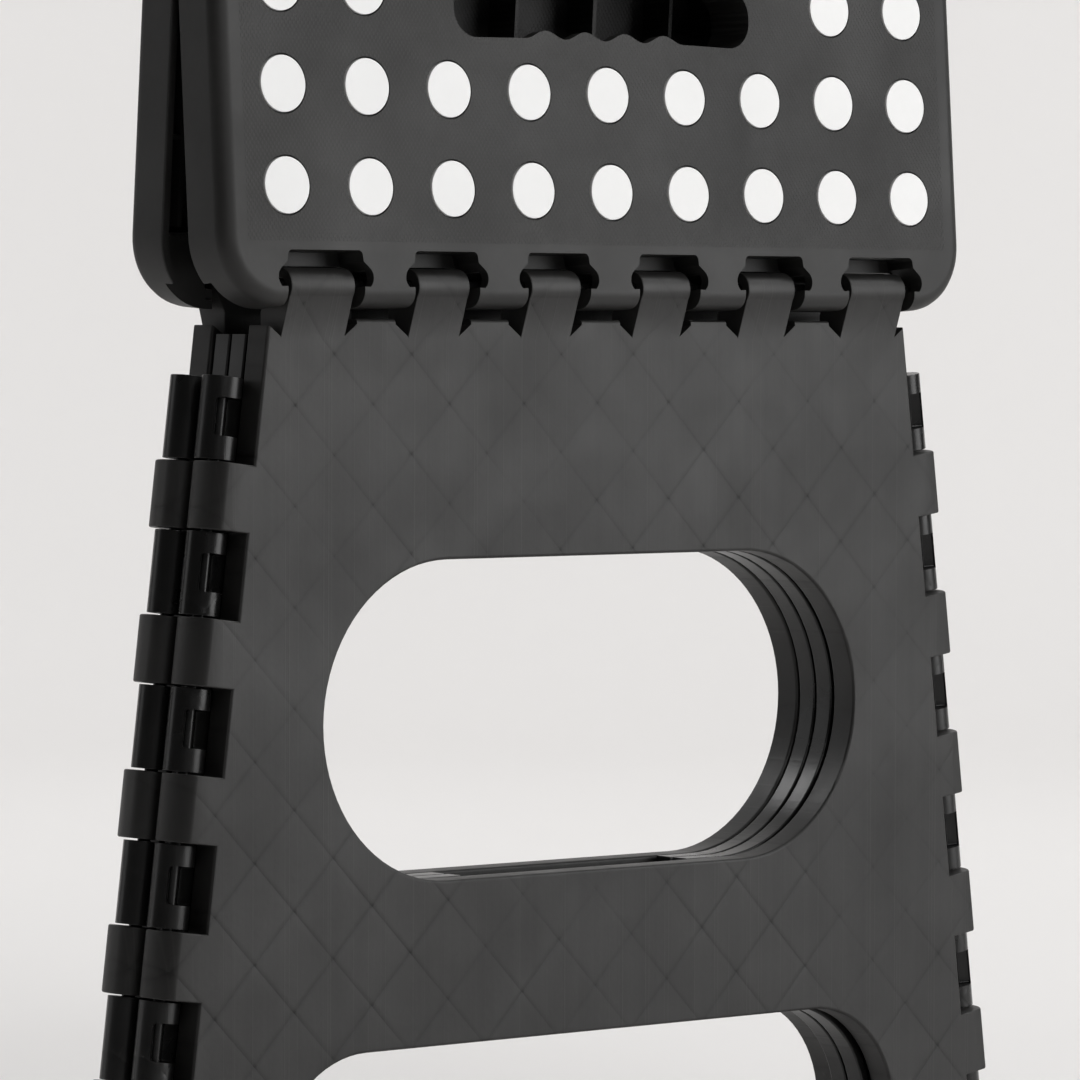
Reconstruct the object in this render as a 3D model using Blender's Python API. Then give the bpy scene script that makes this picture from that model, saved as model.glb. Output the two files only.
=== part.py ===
"""Folding step stool, modelled in its folded, upright rest pose (metres, +Z up, front faces -Y)."""
import bmesh
import bpy
from math import atan, ceil, cos, pi, radians, sin, sqrt, tan
from mathutils import Matrix, Vector

MM = 0.001
WELD = 0.002

# ---- driving dimensions (millimetres and degrees) ----
TREAD_WIDTH = 300.0          # along X
TREAD_HALF_DEPTH = 110.0     # outer edge to the centre line of the open tread
TREAD_THICK = 17.3
TREAD_SKIN = 3.2
TREAD_WALL = 2.6
TREAD_TILT = 3.86            # each half leans in by this much when folded
EDGE_TO_PIVOT = 6.3          # outer edge of the tread to the leg pivot
TOP_TO_PIVOT = 6.8           # tread surface to the leg pivot
CENTRE_GAP = 0.3             # half the gap on the centre line of the open tread

LEG_TOP = 275.0
LEG_BOTTOM = 3.0
LEG_FACE = 17.7              # outer face of a leg from the middle plane
LEG_THICK = 9.5
LEG_SKIN = 2.6
LEG_RIM = 2.8                # wall round the hollow back of a leg
LEG_RIB_WIDE = 2.0
LEG_RIB_PITCH = 120.0
LEG_RIB_SHIFT = 48.0         # the lattice's crossings lie off the middle line by this much
LEG_RIB_REACH = 175.0        # from the middle line to beyond the leg's side
RIB_STAGGER = 0.05           # keeps the two rib directions from sharing a face
PIVOT_ABOVE_LEG = 9.5
SIDE_TAPER = 0.127           # sideways growth of the leg per unit of drop
LEG_HALF_TOP = 129.1         # half width at the leg's top edge, at the hinge recesses
COLUMN_OUT = 6.8             # hinge column axis outside the recess line
COLUMN_Y = 7.4               # hinge column axis from the middle plane
COLUMN_R = 6.0
EAR_LEN = 5.0                # low ear over the top end of each column pin
PAD_X = 146.0                # middle of a foot pad
PAD_HALF = 14.0
PAD_WALL = 2.2               # plastic left in front of and behind a pad
RECESS_FIRST = 16.4
RECESS_LEN = 25.5
RECESS_PITCH = 45.3
RECESS_COUNT = 6

HOLE_HALF = 108.0
HOLE_R = 47.75
HOLE_DROP = 119.0            # leg top edge to the middle of the oval hole
ARCH_DROP = 216.0
ARCH_STRAIGHT = 88.8
ARCH_R = 35.0

PANEL_THICK = 6.8
PANEL_SKIN = 2.5
PANEL_INNER = 0.4            # outer skin of a folded side panel from the middle plane
FOLD_X = 40.22               # side fold axis from the middle, folded
FOLD_LEAN = 0.00135          # its sideways lean per unit of drop
FOLD_R = 5.0
FOLD_CLEAR = 0.6             # round the fold pins
CENTRE_R = 4.6               # knuckles of the tread's centre hinge
CENTRE_PIN_R = 1.3
CENTRE_SLACK = 2.0           # play that lets the centre hinge follow the fold

DOT_R = 8.4
DOT_PITCH_X = 31.6
DOT_PITCH_Z = 29.4
DOT_FIRST = 35.0             # outer edge to the first row of dots
DOT_PROUD = 0.3
DOT_SIDES = 12
RUNNER_WIDE = 3.0
RUNNER_THICK = 1.0
KNUCKLES = ((22.5, 24.8, 19.8), (66.7, 24.8, 19.8), (112.9, 28.5, 24.0))  # x, slot, eye width
EYE_R = 5.4
NOTCH_WIDE = 4.8
EYE_WALL = 2.8               # tread wall beside each eye slot
BULGE_R = 3.6                # round bulges at the sides of each eye slot
PIN_R = 2.0
HOLE_CLEAR = 0.3

HANDLE_HALF = 60.0
HANDLE_LOW = 80.3
HANDLE_HIGH = 98.6

PSI = radians(TREAD_TILT)
BETA = atan(SIDE_TAPER)
ARM = TREAD_HALF_DEPTH - EDGE_TO_PIVOT
DROP = TREAD_THICK - TOP_TO_PIVOT
PIVOT_Y = ARM * sin(PSI) + DROP * cos(PSI)
PIVOT_Z = LEG_TOP + PIVOT_ABOVE_LEG
CENTRE_Z = PIVOT_Z + ARM * cos(PSI) - DROP * sin(PSI)
COLUMN_TOP = LEG_HALF_TOP + COLUMN_OUT
HOLE_Z = LEG_TOP - HOLE_DROP
ARCH_Z = LEG_TOP - ARCH_DROP
AXIS_STEP = sqrt(1.0 + SIDE_TAPER ** 2)

for old in list(bpy.data.objects):
    bpy.data.objects.remove(old)

scene_root = bpy.context.scene.collection
stool = bpy.data.collections.new("folding_step_stool")
cutters = bpy.data.collections.new("cutters")
scene_root.children.link(stool)
scene_root.children.link(cutters)


# ---- materials ----
def material(name, colour, roughness, metallic=0.0):
    mat = bpy.data.materials.new(name)
    mat.use_nodes = True
    shader = mat.node_tree.nodes["Principled BSDF"]
    shader.inputs["Base Color"].default_value = (*colour, 1.0)
    shader.inputs["Roughness"].default_value = roughness
    shader.inputs["Metallic"].default_value = metallic
    return mat


# ---- outlines ----
def arc(cx, cz, r, a0, a1, count):
    steps = [a0 + (a1 - a0) * i / count for i in range(count + 1)]
    return [(cx + r * cos(radians(a)), cz + r * sin(radians(a))) for a in steps]


def fillet(corners, count=5):
    """Corners are (x, z, radius), in order; returns the outline with rounded corners."""
    out = []
    for i, (x, z, r) in enumerate(corners):
        if r <= 0.0:
            out.append((x, z))
            continue
        p = Vector((x, z))
        a = (Vector(corners[i - 1][:2]) - p).normalized()
        b = (Vector(corners[(i + 1) % len(corners)][:2]) - p).normalized()
        half = a.angle(b) / 2.0
        centre = p + (a + b).normalized() * (r / sin(half))
        start = p + a * (r / tan(half)) - centre
        end = p + b * (r / tan(half)) - centre
        turn = start.angle_signed(end)
        for k in range(count + 1):
            v = start.copy()
            v.rotate(Matrix.Rotation(-turn * k / count, 2))
            out.append(tuple(centre + v))
    return out


def stadium(half, r, cz, count=10):
    right = arc(half - r, cz, r, -90, 90, count)
    left = arc(r - half, cz, r, 90, 270, count)
    return right + left


def recess_x(z):
    return LEG_HALF_TOP + SIDE_TAPER * (LEG_TOP - z)


def column_x(z):
    return recess_x(z) + COLUMN_OUT


def fold_x(z):
    return FOLD_X + FOLD_LEAN * (LEG_TOP - z)


# ---- solids, as temporary objects in millimetres ----
def finish(name, bm):
    """Turns a bmesh into a temporary object with outward faces."""
    bmesh.ops.remove_doubles(bm, verts=bm.verts, dist=WELD)
    bmesh.ops.recalc_face_normals(bm, faces=bm.faces)
    mesh = bpy.data.meshes.new(name)
    bm.to_mesh(mesh)
    bm.free()
    obj = bpy.data.objects.new(name, mesh)
    cutters.objects.link(obj)
    return obj


def plate(name, loops, y0, y1, chamfer=0.0):
    """Flat piece in the XZ plane between y0 and y1; later loops are holes."""
    curve = bpy.data.curves.new(name, "CURVE")
    curve.dimensions = "2D"
    curve.fill_mode = "BOTH"
    curve.extrude = (y1 - y0) / 2.0 - chamfer
    curve.bevel_depth = chamfer
    curve.bevel_resolution = 0
    curve.offset = -chamfer
    for loop in loops:
        spline = curve.splines.new("POLY")
        spline.points.add(len(loop) - 1)
        spline.use_cyclic_u = True
        for point, (x, z) in zip(spline.points, loop):
            point.co = (x, z, 0.0, 1.0)
    holder = bpy.data.objects.new(name, curve)
    cutters.objects.link(holder)
    graph = bpy.context.evaluated_depsgraph_get()
    mesh = bpy.data.meshes.new_from_object(holder.evaluated_get(graph))
    bpy.data.objects.remove(holder)
    mesh.transform(Matrix.Translation((0, (y0 + y1) / 2.0, 0)) @ Matrix.Rotation(pi / 2, 4, "X"))
    bm = bmesh.new()
    bm.from_mesh(mesh)
    bpy.data.meshes.remove(mesh)
    return finish(name, bm)


def prism(name, section, start, end, across, up):
    """Section of (a, b) pairs, laid along across and up, extruded from start to end."""
    start, end = Vector(start), Vector(end)
    across, up = Vector(across), Vector(up)
    bm = bmesh.new()
    cap = bm.faces.new([bm.verts.new(start + across * a + up * b) for a, b in section])
    grown = bmesh.ops.extrude_face_region(bm, geom=[cap], use_keep_orig=True)["geom"]
    far = [item for item in grown if isinstance(item, bmesh.types.BMVert)]
    bmesh.ops.translate(bm, verts=far, vec=end - start)
    return finish(name, bm)


def box(name, x0, x1, y0, y1, z0, z1):
    middle = Matrix.Translation(((x0 + x1) / 2, (y0 + y1) / 2, (z0 + z1) / 2))
    size = Matrix.Diagonal((x1 - x0, y1 - y0, z1 - z0, 1.0))
    bm = bmesh.new()
    bmesh.ops.create_cube(bm, size=1.0, matrix=middle @ size)
    return finish(name, bm)


def rod(name, start, end, r, count=8):
    start, end = Vector(start), Vector(end)
    run = end - start
    turn = run.to_track_quat("Z", "Y").to_matrix().to_4x4()
    bm = bmesh.new()
    bmesh.ops.create_cone(bm, cap_ends=True, segments=count, radius1=r, radius2=r,
                          depth=run.length, matrix=Matrix.Translation((start + end) / 2) @ turn)
    return finish(name, bm)


def merged(name, pieces):
    """One object holding several closed pieces."""
    bm = bmesh.new()
    for piece in pieces:
        bm.from_mesh(piece.data)
        bpy.data.objects.remove(piece)
    mesh = bpy.data.meshes.new(name)
    bm.to_mesh(mesh)
    bm.free()
    obj = bpy.data.objects.new(name, mesh)
    cutters.objects.link(obj)
    return obj


def combine(target, tool, operation):
    """Boolean of target with tool; the tool is used up."""
    mod = target.modifiers.new("cut", "BOOLEAN")
    mod.operation = operation
    mod.solver = "EXACT"
    mod.use_self = True
    mod.object = tool
    graph = bpy.context.evaluated_depsgraph_get()
    mesh = bpy.data.meshes.new_from_object(target.evaluated_get(graph))
    target.modifiers.clear()
    target.data = mesh
    bpy.data.objects.remove(tool)
    return target


def union(name, pieces):
    body = pieces[0]
    body.name = name
    return combine(body, merged("join", pieces[1:]), "UNION")


def half_turned(obj):
    obj.data.transform(Matrix.Rotation(pi, 4, "Z"))
    return obj


def mirrored(obj):
    obj.data.transform(Matrix.Scale(-1, 4, (1, 0, 0)))
    obj.data.flip_normals()
    return obj


def placed(obj, name, mat, origin, turn=None, crease=32.0):
    """Moves a finished body to its place: origin on its axis, mesh in metres around it."""
    mesh = obj.data
    turn = turn or Matrix.Identity(3)
    shift = Matrix.Translation(-Vector(origin))
    mesh.transform(turn.to_4x4().inverted() @ shift)
    bm = bmesh.new()
    bm.from_mesh(mesh)
    bmesh.ops.remove_doubles(bm, verts=bm.verts, dist=0.01)
    bmesh.ops.dissolve_degenerate(bm, edges=bm.edges, dist=0.005)
    bmesh.ops.scale(bm, verts=bm.verts, vec=(MM, MM, MM))
    for face in bm.faces:
        face.smooth = True
    for edge in bm.edges:
        edge.smooth = edge.is_manifold and edge.calc_face_angle(pi) < radians(crease)
    bm.to_mesh(mesh)
    bm.free()
    mesh.materials.clear()
    mesh.materials.append(mat)
    obj.name = name
    mesh.name = name
    obj.location = Vector(origin) * MM
    obj.rotation_euler = turn.to_euler()
    cutters.objects.unlink(obj)
    stool.objects.link(obj)
    return obj


# ---- legs ----
def leg_outline():
    low = recess_x(LEG_BOTTOM)
    high = recess_x(LEG_TOP)
    bottom = LEG_BOTTOM
    arch_edge = ARCH_STRAIGHT + ARCH_R
    corners = [
        (-high, LEG_TOP, 3.0), (-low, bottom, 2.0), (-arch_edge - 4.0, bottom, 2.0),
        (-arch_edge, ARCH_Z, ARCH_R), (arch_edge, ARCH_Z, ARCH_R),
        (arch_edge + 4.0, bottom, 2.0), (low, bottom, 2.0), (high, LEG_TOP, 3.0),
    ]
    return fillet(corners, 6)


def rib_lattice(y0, y1):
    """Diagonal ribs both ways behind a leg."""
    ribs = []
    middle = LEG_TOP / 2
    count = ceil((LEG_RIB_REACH + middle) / LEG_RIB_PITCH)
    for way in (-1, 1):
        side = Vector((1, 0, -way)).normalized()
        for i in range(-count, count + 1):
            x = LEG_RIB_SHIFT + i * LEG_RIB_PITCH
            start = (x - way * LEG_TOP, 0, middle - LEG_TOP)
            end = (x + way * LEG_TOP, 0, middle + LEG_TOP)
            low = y0 + RIB_STAGGER * (way + 1)
            high = y1 - RIB_STAGGER * (way + 1)
            half = LEG_RIB_WIDE / 2
            section = [(-half, low), (half, low), (half, high), (-half, high)]
            ribs.append(prism("rib", section, start, end, side, (0, 1, 0)))
    return merged("ribs", ribs)


def column_point(side, q):
    """Point on a hinge column axis, q below the leg's top edge along the column."""
    drop = q / AXIS_STEP
    return Vector((side * (COLUMN_TOP + SIDE_TAPER * drop), -COLUMN_Y, LEG_TOP - drop))


def column_frame(side):
    out = Vector((side * cos(BETA), 0, sin(BETA)))
    return out, Vector((0, 1, 0))


def tab_section():
    """Leg tab around the hinge axis: a is outward from the axis, b is towards the middle plane."""
    face = -(LEG_FACE - COLUMN_Y)
    back = face + LEG_THICK
    top = [(COLUMN_R * cos(radians(a)), face * sin(radians(a))) for a in (0, 24, 48, 70)]
    under = arc(0, 0, COLUMN_R, 0, 150, 4)
    return [(-COLUMN_OUT - 3.0, back), (-COLUMN_OUT - 3.0, face), (-3.0, face)] + top[::-1] + \
        under[1:] + [(-COLUMN_OUT + 1.2, back)]


def leg_tab(side, q0, q1, section):
    out, back = column_frame(side)
    return prism("tab", section, column_point(side, q0), column_point(side, q1), out, back)


def eye_section():
    """Leg-top hinge eye in (y, z) about the tread pivot."""
    face = PIVOT_Y - LEG_FACE
    round_part = arc(0, 0, EYE_R, -10, 215, 7)
    return round_part + [(face, -15.0), (face + LEG_THICK, -15.0), (face + LEG_THICK, -7.5)]


def leg_pocket_outline():
    """Hollow back of a leg: its outline moved in by the rim, clear of the tabs and eyes."""
    arch_edge = ARCH_STRAIGHT + ARCH_R + LEG_RIM
    bottom = LEG_BOTTOM + LEG_RIM
    high = recess_x(LEG_TOP - 6.0) - LEG_RIM - 2.0
    low = recess_x(LEG_BOTTOM) - LEG_RIM - 4.0
    return fillet([
        (-high, LEG_TOP - 12.0, 3.0), (-low, bottom, 2.0), (-arch_edge - 4.0, bottom, 2.0),
        (-arch_edge, ARCH_Z + LEG_RIM, ARCH_R + LEG_RIM),
        (arch_edge, ARCH_Z + LEG_RIM, ARCH_R + LEG_RIM),
        (arch_edge + 4.0, bottom, 2.0), (low, bottom, 2.0), (high, LEG_TOP - 12.0, 3.0)], 3)


def eye_notch(x, width, way):
    """Cut-out in the leg's top edge beside an eye; way is the side of the eye it lies on."""
    near = x + way * width / 2
    far = near + way * NOTCH_WIDE
    section = [(near, 1.0), (near, -5.5), (far, -1.5), (far, 1.0)]
    return prism("notch", section, (0, -25, LEG_TOP), (0, 0, LEG_TOP), (1, 0, 0), (0, 0, 1))


def build_leg():
    face, back = -LEG_FACE, -LEG_FACE + LEG_THICK
    body = plate("leg", [leg_outline(), stadium(HOLE_HALF, HOLE_R, HOLE_Z)], face, back, 1.0)
    hole_rim = stadium(HOLE_HALF + LEG_RIM, HOLE_R + LEG_RIM, HOLE_Z)
    pocket = plate("pocket", [leg_pocket_outline(), hole_rim], face + LEG_SKIN, back + 1.0)
    pocket = combine(pocket, rib_lattice(face + 1.0, back - 2.0), "DIFFERENCE")
    body = combine(body, pocket, "DIFFERENCE")
    pieces = [body]
    for side in (-1, 1):
        pieces.append(leg_tab(side, RECESS_FIRST - EAR_LEN, RECESS_FIRST, ear_section()))
        for k in range(RECESS_COUNT):
            q0 = RECESS_FIRST + RECESS_LEN + k * RECESS_PITCH
            q1 = RECESS_FIRST + (k + 1) * RECESS_PITCH
            if k == RECESS_COUNT - 1:
                q1 = (LEG_TOP - LEG_BOTTOM) * AXIS_STEP - 0.4
            pieces.append(leg_tab(side, q0, q1, tab_section()))
        for x, _, width in KNUCKLES:
            start = (side * x - width / 2, -PIVOT_Y, PIVOT_Z)
            end = (side * x + width / 2, -PIVOT_Y, PIVOT_Z)
            pieces.append(prism("eye", eye_section(), start, end, (0, 1, 0), (0, 0, 1)))
    body = union("leg", pieces)
    reach = TREAD_WIDTH / 2
    cuts = [rod("bore", (-reach, -PIVOT_Y, PIVOT_Z), (reach, -PIVOT_Y, PIVOT_Z),
                PIN_R + HOLE_CLEAR)]
    for side in (-1, 1):
        cuts.append(rod("bore", column_point(side, -5.0), column_point(side, LEG_TOP + 1.0),
                        PIN_R + HOLE_CLEAR))
        for x, _, width in KNUCKLES:
            cuts.append(eye_notch(side * x, width, -1))
            cuts.append(eye_notch(side * x, width, 1))
        cuts.append(foot_pad(side, HOLE_CLEAR, 2 * PAD_HALF))
    return combine(body, merged("cuts", cuts), "DIFFERENCE")


def ear_section():
    """Low ear that carries the top end of the column pin."""
    return [(-COLUMN_OUT - 3.0, -1.5), (-COLUMN_OUT - 3.0, -6.0), (-1.0, -4.5)] + \
        arc(0, 0, 4.0, -60, 120, 3) + [(-4.0, -0.3)]


def foot_pad(side, grow=0.0, drop=0.0):
    """Rubber pad let into the leg's end; grow and drop enlarge it into its socket."""
    mid = side * PAD_X
    y0, y1 = -LEG_FACE + PAD_WALL, -LEG_FACE + LEG_THICK - PAD_WALL
    return box("pad", mid - PAD_HALF - grow, mid + PAD_HALF + grow, y0 - grow, y1 + grow,
               -drop, 2 * LEG_BOTTOM + grow)


# ---- tread halves, built upright with the leg pivot at the origin ----
def tread_ring(inset, y):
    half = TREAD_WIDTH / 2 - inset
    low = -EDGE_TO_PIVOT + inset
    high = ARM - CENTRE_GAP - 0.3 * inset
    corners = [(-half, high, 4.0), (-half, low, 21.0 - inset), (half, low, 21.0 - inset),
               (half, high, 4.0)]
    return [(x, y, z) for x, z in fillet(corners, 4)]


def tread_shell():
    """Plain block of one half; its outer edges round over towards the standing surface."""
    top, under = -TOP_TO_PIVOT, DROP
    levels = [(5.0, top), (1.9, top + 1.1), (0.0, top + 5.0), (0.0, under)]
    bm = bmesh.new()
    rings = [[bm.verts.new(v) for v in tread_ring(inset, y)] for inset, y in levels]
    bm.faces.new(rings[0])
    bm.faces.new(rings[-1])
    for ring, deeper in zip(rings, rings[1:]):
        for i in range(len(ring)):
            j = (i + 1) % len(ring)
            bm.faces.new((ring[i], ring[j], deeper[j], deeper[i]))
    return finish("tread", bm)


def handle_outline(grow=0.0, bumps=True):
    """Handle opening in the front half, with finger rests along its lower edge."""
    low = HANDLE_LOW - EDGE_TO_PIVOT - grow
    high = HANDLE_HIGH - EDGE_TO_PIVOT + grow
    half = HANDLE_HALF + grow
    r = 8.5 + grow
    out = arc(half - r, high - r, r, 0, 90, 4) + arc(r - half, high - r, r, 90, 180, 4)
    out += arc(r - half, low + r, r, 180, 270, 4)
    if bumps:
        for i in range(25):
            x = -32.0 + 64.0 * i / 24
            out.append((x, low + 1.85 * (1.0 - cos(2 * pi * (x + 32.0) / 16.0))))
    out += arc(half - r, low + r, r, 270, 360, 4)[:-1]
    return out


def dot_centres(front):
    out = []
    for row in range(3):
        for col in range(9):
            if front and row == 2 and 2 <= col <= 6:
                continue
            out.append(((col - 4) * DOT_PITCH_X, DOT_FIRST + row * DOT_PITCH_Z - EDGE_TO_PIVOT))
    return out


def centre_spans(front):
    """X spans of one half's knuckles on the centre hinge."""
    spans = []
    for side in (-1, 1):
        for i in range(5):
            lo = 64.0 + 12.0 * i
            if (i % 2 == 0) == front:
                spans.append((side, lo + 0.3, lo + 11.7))
    return spans


def slot_outline(x, half):
    """Recess in the tread for one leg eye, with a round bulge at each side."""
    right, left = x + half, x - half
    return [(left, -8.0), (right, -8.0), (right + 0.2, -0.5)] + \
        arc(right, 2.2, BULGE_R, -50, 50, 3) + [(right, 7.0), (right, 10.1)] + \
        [(left, 10.1), (left, 7.0)] + arc(left, 2.2, BULGE_R, 130, 230, 3) + [(left - 0.2, -0.5)]


def build_tread(front):
    top, under = -TOP_TO_PIVOT, DROP
    half = TREAD_WIDTH / 2
    low, high = -EDGE_TO_PIVOT, ARM - CENTRE_GAP
    wall = TREAD_WALL
    skin = top + TREAD_SKIN
    body = tread_shell()
    inner = fillet([(-half + wall, high - wall, 2.0), (-half + wall, low + wall, 18.4),
                    (half - wall, low + wall, 18.4), (half - wall, high - wall, 2.0)], 2)
    pocket = plate("pocket", [inner], skin, under + 1.0)
    ribs = []
    for i in (1, 3, 6, 8):
        x = (i - 4.5) * DOT_PITCH_X
        ribs.append(box("rib", x - 0.9, x + 0.9, top + 1.0, under - 2.0, low + 24.0, high - 1.0))
    for row in range(1, 3):
        z = low + 20.0 + row * DOT_PITCH_Z
        ribs.append(box("rib", -half + 1, half - 1, top + 1.1, under - 2.2, z, z + 1.8))
    for x, slot, _ in KNUCKLES:
        for side in (-1, 1):
            reach = slot / 2 + EYE_WALL
            section = [(low + 1.0, top + 1.2), (16.0, top + 1.2), (16.0, 2.0)] + \
                arc(0, 0, 7.0, 60, 140, 2)
            section = [(b, a) for a, b in section]
            ribs.append(prism("ear", section, (side * x - reach, 0, 0), (side * x + reach, 0, 0),
                              (0, 1, 0), (0, 0, 1)))
    if front:
        ribs.append(plate("rim", [handle_outline(2.6, False)], top + 1.3, under - 0.4))
    else:
        ledge = fillet([(-70, 100, 8.0), (-70, 66, 8.0), (70, 66, 8.0), (70, 100, 8.0)], 2)
        gap = fillet([(-66, 97, 6.0), (-66, 70, 6.0), (66, 70, 6.0), (66, 97, 6.0)], 2)
        ribs.append(plate("ledge", [ledge, gap], top + 1.3, under - 0.4))
    pocket = combine(pocket, merged("ribs", ribs), "DIFFERENCE")
    ease = [(under + 1.0, high + 1.0), (under + 1.0, high - 3.9), (under - 2.8, high + 1.0)]
    ease = prism("ease", ease, (-160, 0, 0), (160, 0, 0), (0, 1, 0), (0, 0, 1))
    body = combine(body, ease, "DIFFERENCE")
    body = combine(body, pocket, "DIFFERENCE")
    # knuckles on the centre line
    pieces = [body]
    for side, lo, hi in centre_spans(front):
        section = arc(DROP, ARM, CENTRE_R, -90, 180, 6) + [(DROP - 5.5, ARM - 0.8),
                                                      (DROP - 5.5, ARM - 3.5), (DROP, ARM - 7.0)]
        pieces.append(prism("eye", section, (side * lo, 0, 0), (side * hi, 0, 0),
                            (0, 1, 0), (0, 0, 1)))
    body = union("tread", pieces)
    cuts = [rod("bore", (4.0 - half, 0, 0), (half - 4.0, 0, 0), PIN_R + HOLE_CLEAR)]
    for x, slot, _ in KNUCKLES:
        for side in (-1, 1):
            cuts.append(prism("slot", slot_outline(side * x, slot / 2), (0, top - 1, 0),
                              (0, under + 1, 0), (1, 0, 0), (0, 0, 1)))
    for x, z in dot_centres(front):
        cuts.append(rod("seat", (x, top - 1.0, z), (x, skin + 1.6, z),
                        DOT_R + HOLE_CLEAR, DOT_SIDES))
    cuts += runners(front, HOLE_CLEAR)
    cuts.append(box("relief", 5.0 - half, half - 5.0, 6.6, under + 1.0, low - 1.0, 17.0))
    if front:
        cuts.append(plate("handle", [handle_outline()], top - 2.0, under + 2.0))
    for side, lo, hi in centre_spans(not front):
        cuts.append(rod("gap", (side * (lo - 0.6), DROP, ARM), (side * (hi + 0.6), DROP, ARM),
                        CENTRE_R + CENTRE_SLACK, 12))
    bore = CENTRE_PIN_R + (HOLE_CLEAR if front else CENTRE_SLACK)
    for side in (-1, 1):
        cuts.append(rod("bore", (side * 60, DROP, ARM), (side * 128, DROP, ARM), bore))
    return combine(body, merged("cuts", cuts), "DIFFERENCE")


def runners(front, grow):
    """Moulding runners under the skin that tie the grip dots into one insert."""
    y0 = -TOP_TO_PIVOT + TREAD_SKIN + HOLE_CLEAR - grow
    y1 = y0 + RUNNER_THICK + 2 * grow
    half = RUNNER_WIDE / 2 + grow
    first = DOT_FIRST - EDGE_TO_PIVOT
    outer = 4 * DOT_PITCH_X
    bars = []
    for row in range(3):
        z = first + row * DOT_PITCH_Z
        spans = [(-outer, outer)]
        if front and row == 2:
            spans = [(-outer, -3 * DOT_PITCH_X), (3 * DOT_PITCH_X, outer)]
        for x0, x1 in spans:
            bars.append(box("runner", x0 - grow, x1 + grow, y0, y1, z - half, z + half))
    for side in (-1, 1):
        x = side * outer
        bars.append(box("runner", x - half, x + half, y0 + 0.1 - grow / 5, y1 - 0.1 + grow / 5,
                        first - grow, first + 2 * DOT_PITCH_Z + grow))
    return bars


def build_dots(front):
    """Grip insert: round dots through the tread's skin, tied together behind it."""
    top = -TOP_TO_PIVOT
    stem = top + TREAD_SKIN + HOLE_CLEAR + RUNNER_THICK - 0.2
    bars = runners(front, 0.0)
    dots = []
    for x, z in dot_centres(front):
        dots.append(rod("dot", (x, top - DOT_PROUD, z), (x, stem, z), DOT_R, DOT_SIDES))
    return union("dots", [bars[0], merged("rest", bars[1:] + dots)])


# ---- folding side panels, built for the front left and mirrored for the others ----
def column_edge(z, reach):
    return -column_x(z) + reach * AXIS_STEP


def panel_outline(rim, reach):
    """Outline of the front left half panel; rim moves every edge inward."""
    top, bottom = LEG_TOP - 4.5 - rim, 2.0 + rim
    fold = -FOLD_X - 6.0 - rim
    r = HOLE_R + rim
    arch_edge = ARCH_STRAIGHT + ARCH_R + rim
    notch = arc(-(HOLE_HALF - HOLE_R), HOLE_Z, r, 90, 270, 8)
    arch = arc(-ARCH_STRAIGHT, ARCH_Z - ARCH_R, ARCH_R + rim, 90, 180, 5)
    return [(column_edge(top, reach), top), (fold, top), (fold, HOLE_Z + r)] + notch + \
        [(fold, HOLE_Z - r), (fold, ARCH_Z + rim)] + arch + \
        [(-arch_edge - 2.0, bottom), (column_edge(bottom, reach), bottom)]


def fold_spans(front):
    """Z spans of one half panel's knuckles on the fold axis."""
    spans = []
    for low, count, length in ((HOLE_Z + HOLE_R + 3.0, 4, 15.0), (ARCH_Z + 3.0, 3, 14.0)):
        for i in range(count):
            if (i % 2 == 0) == front:
                spans.append((low + i * length + 0.35, low + (i + 1) * length - 0.35))
    return spans


def fold_point(z):
    return Vector((-fold_x(z), 0.0, z))


def build_panel(front):
    """Half panel in the front left position; front says which knuckles it carries."""
    y0, y1 = -PANEL_INNER - PANEL_THICK, -PANEL_INNER
    body = plate("panel", [panel_outline(0.0, 7.2)], y0, y1, 0.6)
    pocket = plate("pocket", [panel_outline(2.6, 9.8)], y0 - 1.0, y1 - PANEL_SKIN)
    ribs = []
    for z in (84.0, 228.0):
        ribs.append(box("rib", -175, -40, y0 + 1.0, y1 - 1.0, z - 0.9, z + 0.9))
    ribs.append(box("rib", -118.9, -117.1, y0 + 1.1, y1 - 1.1, -5, 280))
    pocket = combine(pocket, merged("ribs", ribs), "DIFFERENCE")
    body = combine(body, pocket, "DIFFERENCE")
    pieces = [body]
    out, back = column_frame(-1)
    for k in range(RECESS_COUNT):
        q0 = RECESS_FIRST + k * RECESS_PITCH + 0.6
        q1 = q0 + RECESS_LEN - 1.2
        clip = arc(0, 0, COLUMN_R, -180, 90, 7) + [(-9.9, COLUMN_R), (-9.9, 0.3), (-5.9, 0.3)]
        pieces.append(prism("clip", clip, column_point(-1, q0), column_point(-1, q1), out, back))
    for z0, z1 in fold_spans(front):
        eye = arc(0, 0, FOLD_R, -90, 180, 7) + [(-7.5, -PANEL_INNER - 0.1),
                                                (-7.5, -FOLD_R + 0.1)]
        pieces.append(prism("eye", eye, fold_point(z0), fold_point(z1), (1, 0, 0), (0, 1, 0)))
    body = union("panel", pieces)
    cuts = [rod("bore", column_point(-1, -5.0), column_point(-1, 285.0), PIN_R + HOLE_CLEAR),
            rod("bore", fold_point(290), fold_point(-10), PIN_R + FOLD_CLEAR)]
    return combine(body, merged("cuts", cuts), "DIFFERENCE")


# ---- pins and small pieces ----
def column_rod():
    return rod("rod", column_point(-1, RECESS_FIRST - 6.5), column_point(-1, 272.0), PIN_R)


def fold_rod(upper):
    if upper:
        return rod("rod", fold_point(HOLE_Z + HOLE_R + 2.0), fold_point(LEG_TOP - 5.0), PIN_R)
    return rod("rod", fold_point(ARCH_Z + 2.0), fold_point(HOLE_Z - HOLE_R - 2.0), PIN_R)


def hinge_rod():
    return rod("rod", (-129.5, -PIVOT_Y, PIVOT_Z), (129.5, -PIVOT_Y, PIVOT_Z), PIN_R)


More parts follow.
